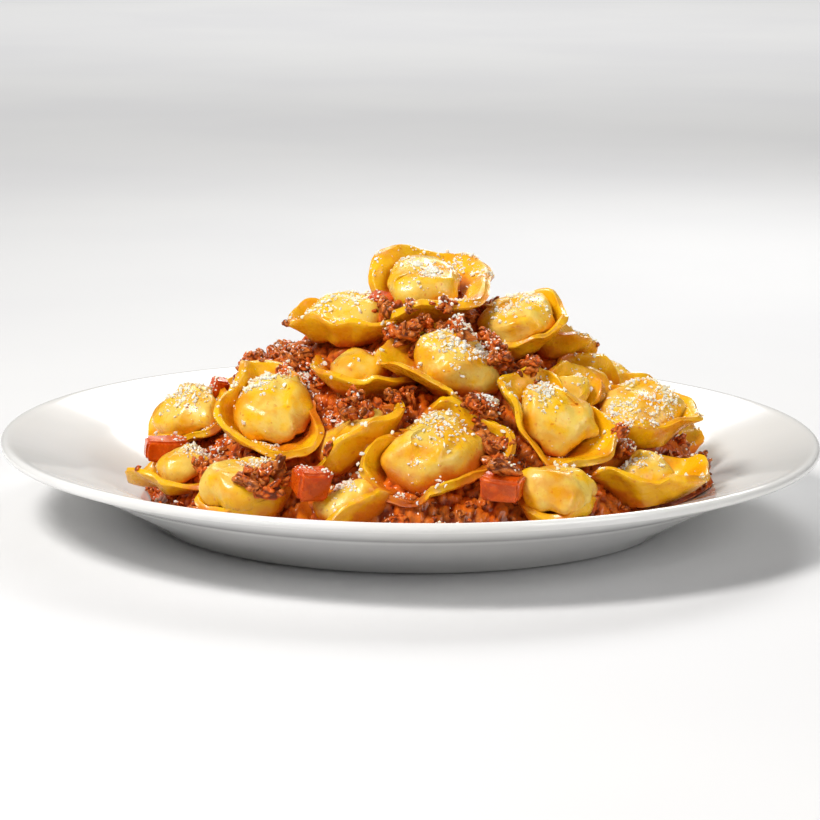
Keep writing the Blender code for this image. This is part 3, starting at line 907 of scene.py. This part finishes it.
def scatter_tree(spacing, rng):
    """Return a search tree of places strewn over the sauce about spacing mm apart."""
    span = HEAP_RADIUS + 8
    steps = int(2 * span / spacing)
    tree = KDTree(steps * steps)
    for i in range(steps):
        for j in range(steps):
            x = HEAP_X - span + spacing * (i + rng.uniform(0.1, 0.9))
            y = -span + spacing * (j + rng.uniform(0.1, 0.9))
            tree.insert((x, y, heap_height(x, y)), i * steps + j)
    tree.balance()
    return tree


def grain_relief(points, spacing, reach, rng):
    """Return from 0 to 1 how near each point is to the middle of a grain of mince."""
    tree = scatter_tree(spacing, rng)
    near = np.array([tree.find(point)[2] for point in points])
    return np.clip(1 - (near / reach) ** 2, 0, 1)


def heap_normals(x, y):
    """Return the outward directions of the sauce's own surface at places."""
    step = 2
    slope_x = (heap_height(x + step, y) - heap_height(x - step, y)) / (2 * step)
    slope_y = (heap_height(x, y + step) - heap_height(x, y - step)) / (2 * step)
    normals = np.column_stack([-slope_x, -slope_y, np.ones_like(slope_x)])
    return normals / np.linalg.norm(normals, axis=1)[:, None]


def square_faces(count):
    """Return the faces of a square grid of points, and its border points in order."""
    faces = []
    for i in range(count - 1):
        for j in range(count - 1):
            a = i * count + j
            faces.append((a, a + 1, a + count + 1, a + count))
    top = list(range(count))
    right = [i * count + count - 1 for i in range(1, count)]
    bottom = [(count - 1) * count + j for j in range(count - 2, -1, -1)]
    left = [i * count for i in range(count - 2, 0, -1)]
    return faces, top + right + bottom + left


class PASTA_OT_add_sauce(bpy.types.Operator):
    """Fill the heap with meat sauce up to the pasta"""

    bl_idname = "pasta_plate.add_sauce"
    bl_label = "Sauce"

    def execute(self, context):
        rng = random.Random(SAUCE_SEED)
        steps = np.linspace(-1, 1, SAUCE_GRID)
        u, v = (side.ravel() for side in np.meshgrid(steps, steps))
        flat_x = u * np.sqrt(1 - v * v / 2)
        flat_y = v * np.sqrt(1 - u * u / 2)
        bearing = np.arctan2(flat_x, -flat_y)
        share = np.hypot(flat_x, flat_y)
        outline = HEAP_RADIUS - 2 + 2.4 * np.sin(6 * bearing + 1) + 1.2 * np.sin(11 * bearing)
        outline = outline - BACK_SHRINK * smooth_step(SAG_FROM, SAG_TO, -HEAP_RADIUS * np.cos(bearing))
        x = SAUCE_SHIFT * HEAP_X + outline * share * np.sin(bearing)
        y = -outline * share * np.cos(bearing)
        floor = dish_height(np.hypot(x, y)) + SAUCE_GAP
        inner = 1 - smooth_step(0.9, 1, share)
        height = heap_height(x, y)
        points = np.column_stack([x, y, height])
        grain = grain_relief(points, 2.1, 1.7, rng)
        small = grain_relief(points, 1.2, 0.8, rng)
        points[:, 2] = (height - SAUCE_SINK) * inner + floor * (1 - inner)
        relief = (1.5 * grain + 0.45 * small) * inner
        points += heap_normals(x, y) * relief[:, None]
        floor = dish_height(np.hypot(points[:, 0], points[:, 1])) + SAUCE_GAP
        points[:, 2] = np.maximum(points[:, 2], floor + SAUCE_FILM)
        faces, border = square_faces(SAUCE_GRID)
        base = len(points)
        skirt = points[border]
        skirt[:, 2] = floor[border]
        middle = (SAUCE_SHIFT * HEAP_X, 0, WELL_HEIGHT + SAUCE_GAP)
        points = np.vstack([points, skirt, middle])
        for k in range(len(border)):
            n = (k + 1) % len(border)
            faces.append((border[n], border[k], base + k, base + n))
            faces.append((base + n, base + k, len(points) - 1))
        # the grain mask leads the sauce's painted shade between grains and painted highlight on their
        # tops
        masks = {"grain": np.append(grain, np.zeros(len(border) + 1))}
        finish = sauce_finish(settings_of("pasta_plate_sauce"))
        sauce = make_piece("sauce_bed", points, faces, finish, masks, 70)
        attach(sauce, BODY)
        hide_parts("sauce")
        return {"FINISHED"}


# ---- what lies on the heap

LAID = ("tortellino_", "sauce_", "plate_", "dice_", "mince_")
RAY_START = 400


class Heap:
    """The outer surface of everything laid so far, for finding where a crumb comes to rest."""

    def __init__(self):
        points = []
        faces = []
        self.owners = []
        for piece in bpy.context.scene.objects:
            if piece.type != "MESH" or not piece.name.startswith(LAID):
                continue
            first = len(points)
            points += [piece.matrix_world @ vert.co for vert in piece.data.vertices]
            for face in piece.data.polygons:
                faces.append(tuple(first + index for index in face.vertices))
            self.owners += [piece.name] * len(piece.data.polygons)
        self.tree = BVHTree.FromPolygons(points, faces)

    def meet(self, place, direction):
        """Return where a ray in mm first meets the heap: place, normal and owner."""
        start = (Vector(place) + Vector(direction) * RAY_START) * MM
        found = self.tree.ray_cast(start, -Vector(direction))
        if found[0] is None:
            return None
        return found[0] / MM, found[1], self.owners[found[2]]

    def drop(self, rng, low=8):
        """Return where a ray from a random side and height meets the heap."""
        bearing = rng.uniform(0, math.tau)
        rise = math.radians(rng.uniform(low, 88))
        direction = (
            math.cos(rise) * math.sin(bearing),
            -math.cos(rise) * math.cos(bearing),
            math.sin(rise),
        )
        radius = HEAP_RADIUS * math.sqrt(rng.random())
        around = rng.uniform(0, math.tau)
        x = HEAP_X * SAUCE_SHIFT + radius * math.sin(around)
        y = -radius * math.cos(around)
        z = WELL_HEIGHT + (heap_height(x, y) - WELL_HEIGHT) * rng.random()
        return self.meet((x, y, z), direction)


MINCE_SEED = 23
MINCE_BEND = 6


def mince_shape(form, count, rng):
    """Return a ball's points heaved into lobes and grains, with how high each stands on one."""
    points = form / np.linalg.norm(form, axis=1)[:, None]
    reach = 2.3 / math.sqrt(count)
    lumpy = np.ones(len(points))
    for number, width, swell in ((max(count // 6, 4), 2.4 * reach, 0.34), (count, reach, 0.17)):
        middles = np.array([[rng.gauss(0, 1) for _ in range(3)] for _ in range(number)])
        middles /= np.linalg.norm(middles, axis=1)[:, None]
        gap = np.linalg.norm(points[:, None, :] - middles[None, :, :], axis=2).min(axis=1)
        grain = np.clip(1 - (gap / width) ** 2, 0, 1)
        lumpy += swell * (grain - 0.6)
    shape = points * lumpy[:, None]
    shape *= np.array([rng.uniform(0.8, 1.5), rng.uniform(0.65, 1.1), rng.uniform(0.55, 0.95)])
    shape = crumple(shape * MINCE_BEND, 1.2, rng) / MINCE_BEND
    return shape @ any_turn(rng).T, grain


# x, y, z (mm), spread and count of each cluster of mince
MINCE_CLUSTERS = (
    (-15, -59, 46, 6, 8),
    (-5, -56, 49, 6, 8),
    (-53, -4, 50, 5, 8),
    (-47, -16, 50, 6, 8),
    (-38, -23, 55, 6, 8),
    (3, -37, 66, 6, 7),
    (13, -37, 67, 6, 8),
    (22, -37, 64, 5, 6),
    (27, -42, 57, 5, 8),
    (34, -43, 53, 5, 7),
    (20, -61, 45, 5, 8),
    (25, -72, 36, 5, 6),
    (29, -76, 30, 5, 6),
    (64, -53, 32, 4, 4),
    (92, -28, 24, 6, 9),
    (98, -10, 20, 6, 7),
    (-84, -21, 18, 5, 4),
    (-82, -45, 20, 4, 5),
    (-42, -72, 24, 5, 6),
    (-62, -50, 27, 5, 4),
    (-20, -73, 32, 4, 3),
    (56, -9, 53, 4, 3),
    (-8, -25, 74, 4, 4),
    (27, -16, 75, 2, 2),
)
# name, level of the ball, lobes, pieces in all, share of a cluster's count, least and most size
MINCE_KINDS = (
    ("mince_clumps", 4, 60, 148, 0.85, 2.2, 4.2),
    ("mince_bits", 3, 34, 270, 1.1, 1.2, 2.6),
    ("mince_crumbs", 2, 9, 900, 2.2, 0.4, 1.2),
)


class PASTA_OT_add_mince(bpy.types.Operator):
    """Pack clumps of mince into the gaps of the heap"""

    bl_idname = "pasta_plate.add_mince"
    bl_label = "Mince"

    def execute(self, context):
        rng = random.Random(MINCE_SEED)
        material = mince_finish(settings_of("pasta_plate_sauce"))
        for name, level, lobes, total, share, least, most in MINCE_KINDS:
            heap = Heap()
            form, faces = ball(level)
            bunch = Bunch()
            for place, normal, _ in self.spots(heap, total, share, rng):
                size = rng.uniform(least, most)
                shape, grain = mince_shape(form, lobes, rng)
                centre = np.array(place + normal * size * rng.uniform(-0.1, 0.45))
                # the grain mask leads the mince's painted shade and painted highlight
                bunch.add(centre + size * shape, faces, {"grain": grain, "tone": rng.random()})
            piece = bunch.make(name, material, 80)
            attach(piece, BODY)
        return {"FINISHED"}

    def spots(self, heap, total, share, rng):
        """Return where mince lies: in its clusters, then anywhere on sauce or mince."""
        spots = []
        for x, y, z, spread, count in MINCE_CLUSTERS:
            away = Vector((x - HEAP_X, y, 45)).normalized()
            for _ in range(int(share * count)):
                place = [middle + rng.gauss(0, 0.5) * spread for middle in (x, y, z)]
                found = heap.meet(place, away)
                if found and found[1].z > 0.1 and not found[2].startswith("plate_"):
                    spots.append(found)
        while len(spots) < total:
            found = heap.drop(rng)
            if found and found[2].startswith(("sauce_", "mince_")):
                spots.append(found)
        return spots[:total]


# ---- carrot

# name, x, y, z of the middle (mm), length, width, height (mm), heading and tilt (degrees)
CARROT_DICE = (
    ("carrot_far_left", -75, -36, 27, 13, 7, 7, 15, 8),
    ("carrot_front_left", -29, -81, 27, 10, 8, 9, 25, 12),
    ("carrot_front", 27, -84, 27, 12, 8, 7, -15, 10),
    ("carrot_upper_left", -60, -18, 43, 5, 5, 6, 30, 20),
    ("carrot_summit", -9, -19, 71, 8, 6, 5, -20, 25),
    ("carrot_back_left", -46, 58, 34, 9, 8, 7, 40, 10),
    ("carrot_back_right", 60, 46, 34, 8, 8, 8, 70, 15),
    ("carrot_back", 8, 84, 23, 11, 8, 7, 10, 12),
)


def dice_form(size, rng):
    """Return the points and faces of a cut cube with soft edges and uneven sides, in mm."""
    form = bmesh.new()
    bmesh.ops.create_cube(form, size=1)
    bmesh.ops.scale(form, vec=size, verts=form.verts)
    bmesh.ops.bevel(form, geom=form.edges, offset=0.13 * min(size), segments=3, affect="EDGES")
    bmesh.ops.subdivide_edges(form, edges=form.edges, cuts=3, use_grid_fill=True)
    bmesh.ops.triangulate(form, faces=form.faces)
    form.normal_update()
    points, faces = points_and_faces(form)
    return crumple(points, 0.05 * min(size), rng), faces


class PASTA_OT_add_carrot(bpy.types.Operator):
    """Lay the carrot dice on the heap"""

    bl_idname = "pasta_plate.add_carrot"
    bl_label = "Carrot dice"

    def execute(self, context):
        material = carrot_finish(settings_of("pasta_plate_sauce"))
        for name, x, y, z, length, width, height, heading, tilt in CARROT_DICE:
            rng = random.Random(name)
            points, faces = dice_form((length, width, height), rng)
            turn = turned(("Z", heading), ("Y", 0.5 * tilt), ("X", tilt))
            placed = points @ turn.T + np.array([x, y, z])
            piece = make_piece("dice_" + name, placed, faces, material, sharp=45)
            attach(piece, BODY)
            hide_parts(name)
        return {"FINISHED"}


# ---- cheese

CHEESE_SEED = 37
CRUMB_RADII = (0.16, 0.2, 0.23, 0.26, 0.3, 0.35, 0.42, 0.5, 0.72)
DRIFT_SHARE = 1.35

# x, y, z (mm), spread and count of each thick drift of cheese
CHEESE_DRIFTS = (
    (5, -20, 84, 4, 150),
    (14, -48, 66, 6, 200),
    (21, -46, 62, 3, 90),
    (24, -60, 47, 3, 150),
    (66, -40, 45, 6, 160),
    (78, -36, 44, 6, 130),
    (38, -55, 49, 5, 150),
    (8, -70, 44, 7, 150),
    (-48, -44, 52, 7, 150),
    (-36, -34, 54, 5, 80),
    (-64, -42, 28, 5, 150),
    (-20, -78, 26, 4, 60),
    (32, -26, 74, 6, 120),
    (-20, -18, 74, 7, 130),
    (66, -56, 30, 5, 90),
    (-44, -66, 26, 5, 60),
    (-72, -24, 44, 6, 90),
    (56, -14, 56, 5, 60),
)


def crumb_shape(form, rng):
    """Return the points of one ragged crumb about 1 mm across."""
    shape = form * np.array([[rng.uniform(0.45, 1.4)] for _ in form])
    stretch = rng.choice((1, 1, 1, 1.2, 1.7))
    shape = shape * np.array([stretch, 1 / stretch ** 0.5, rng.uniform(0.6, 1)])
    return shape @ any_turn(rng).T


class PASTA_OT_add_cheese(bpy.types.Operator):
    """Scatter grated cheese over the heap"""

    bl_idname = "pasta_plate.add_cheese"
    bl_label = "Grated cheese"

    def execute(self, context):
        settings = settings_of("pasta_plate_sauce")
        rng = random.Random(CHEESE_SEED)
        heap = Heap()
        bunch = Bunch()
        form, faces = ball(1)
        spots = []
        for x, y, z, spread, count in CHEESE_DRIFTS:
            away = Vector((0.4 * (x - HEAP_X), 0.4 * y, 45)).normalized()
            for _ in range(int(DRIFT_SHARE * count)):
                place = (x + rng.gauss(0, 0.6) * spread, y + rng.gauss(0, 0.6) * spread, z)
                spots.append(heap.meet(place, away))
        while len(spots) < settings.crumbs:
            found = heap.drop(rng, low=25)
            if not found or found[1].z < rng.uniform(0, 0.7):
                continue
            place = found[0]
            away = Vector((0.5 * (place.x - HEAP_X), 0.5 * place.y, 60)).normalized()
            spread = rng.uniform(0.8, 3)
            for _ in range(rng.choice((1, 1, 3, 6, 14, 24))):
                near = (place.x + rng.gauss(0, spread), place.y + rng.gauss(0, spread), place.z)
                spots.append(heap.meet(near, away))
        for spot in spots[:settings.crumbs]:
            if not spot or spot[2].startswith("plate_"):
                continue
            size = rng.choice(CRUMB_RADII)
            centre = np.array(spot[0] + spot[1] * rng.uniform(-0.1, 0.8) * size)
            bunch.add(centre + size * crumb_shape(form, rng), faces, {"tone": rng.random()})
        piece = bunch.make("cheese_grated", cheese_finish(settings), 30)
        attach(piece, BODY)
        return {"FINISHED"}


# ---- stage

CAMERA_PITCH = 11.108
CAMERA_ROLL = 0.01
CAMERA_DISTANCE = 0.9804
CAMERA_AIM = (-0.00028, 0, 0.0329)
CAMERA_LENS = 134.94


def soft_light(name, place, size, power, colour, target=(0, 0, 0.03)):
    """Add a square light aimed at the middle of the heap or at another target."""
    data = bpy.data.lights.new(name, "AREA")
    data.size = size
    data.energy = power
    data.color = colour
    light = bpy.data.objects.new(name, data)
    light.location = place
    aim = Vector(target) - Vector(place)
    light.rotation_euler = aim.to_track_quat("-Z", "Y").to_euler()
    bpy.context.scene.collection.objects.link(light)


class PASTA_OT_add_stage(bpy.types.Operator):
    """Set the floor, the lights and the camera"""

    bl_idname = "pasta_plate.add_stage"
    bl_label = "Stage"

    def execute(self, context):
        scene = context.scene
        scene.view_settings.view_transform = "Standard"
        recipe = Recipe("floor_paper")
        colour = recipe.over((0.8, 0.8, 0.8), (0.76, 0.76, 0.77), recipe.noise(3, 3), 0.3, 0.7)
        paper = recipe.finish(colour, 0.8, {})
        mesh = bpy.data.meshes.new("floor")
        mesh.from_pydata([(-3, -3, 0), (3, -3, 0), (3, 3, 0), (-3, 3, 0)], [], [(0, 1, 2, 3)])
        mesh.materials.append(paper)
        floor = bpy.data.objects.new("floor", mesh)
        floor.location.z = -0.0003
        scene.collection.objects.link(floor)
        world = bpy.data.worlds.new("room")
        world.use_nodes = True
        background = world.node_tree.nodes["Background"]
        background.inputs["Color"].default_value = (1, 0.985, 0.96, 1)
        background.inputs["Strength"].default_value = 0.2
        scene.world = world
        soft_light("key", (-0.5, -0.4, 0.8), 0.3, 9, (1, 0.98, 0.95))
        soft_light("fill", (0.65, -0.6, 0.45), 0.5, 2.2, (1, 1, 1))
        soft_light("rim", (0.25, 0.7, 0.6), 0.3, 2.6, (1, 1, 1))
        soft_light("back", (0, 2.4, 1.6), 2, 32, (1, 1, 1), (0, 2.4, 0))
        pitch = math.radians(CAMERA_PITCH)
        forward = Vector((0, math.cos(pitch), -math.sin(pitch)))
        upward = Vector((0, math.sin(pitch), math.cos(pitch)))
        axes = Matrix((Vector((1, 0, 0)), upward, -forward)).transposed()
        axes = axes @ Matrix.Rotation(CAMERA_ROLL, 3, "Z")
        camera = bpy.data.objects.new("camera", bpy.data.cameras.new("camera"))
        camera.data.sensor_width = 36
        camera.data.lens = CAMERA_LENS
        camera.data.clip_start = 0.05
        place = Vector(CAMERA_AIM) - forward * CAMERA_DISTANCE
        camera.matrix_world = Matrix.Translation(place) @ axes.to_4x4()
        scene.collection.objects.link(camera)
        scene.camera = camera
        return {"FINISHED"}


# ---- panel and registration

OPERATORS = (
    PASTA_OT_add_plate,
    PASTA_OT_add_tortellini,
    PASTA_OT_add_sauce,
    PASTA_OT_add_carrot,
    PASTA_OT_add_mince,
    PASTA_OT_add_cheese,
    PASTA_OT_add_stage,
)

GROUPS = {
    "pasta_plate_plate": PlateSettings,
    "pasta_plate_pasta": PastaSettings,
    "pasta_plate_sauce": SauceSettings,
}


class PASTA_PT_panel(bpy.types.Panel):
    """Lists the settings and the pieces of the dish"""

    bl_idname = "PASTA_PT_panel"
    bl_label = "Tortellini Plate"
    bl_space_type = "VIEW_3D"
    bl_region_type = "UI"
    bl_category = "Tortellini"

    def draw(self, context):
        for group, kind in GROUPS.items():
            box = self.layout.box()
            for key in kind.__annotations__:
                box.prop(getattr(context.scene, group), key)
        for operator in OPERATORS:
            self.layout.operator(operator.bl_idname)


def register():
    """Register the settings, the operators and the panel."""
    for kind in (*GROUPS.values(), *OPERATORS, PASTA_PT_panel):
        bpy.utils.register_class(kind)
    for group, kind in GROUPS.items():
        setattr(bpy.types.Scene, group, bpy.props.PointerProperty(type=kind))


def unregister():
    """Take the add-on's classes and settings away again."""
    for group in GROUPS:
        delattr(bpy.types.Scene, group)
    for kind in reversed((*GROUPS.values(), *OPERATORS, PASTA_PT_panel)):
        bpy.utils.unregister_class(kind)


def main():
    """Build the dish and the stage."""
    register()
    for operator in OPERATORS:
        getattr(bpy.ops.pasta_plate, operator.bl_idname.split(".")[1])()


if __name__ == "__main__":
    main()
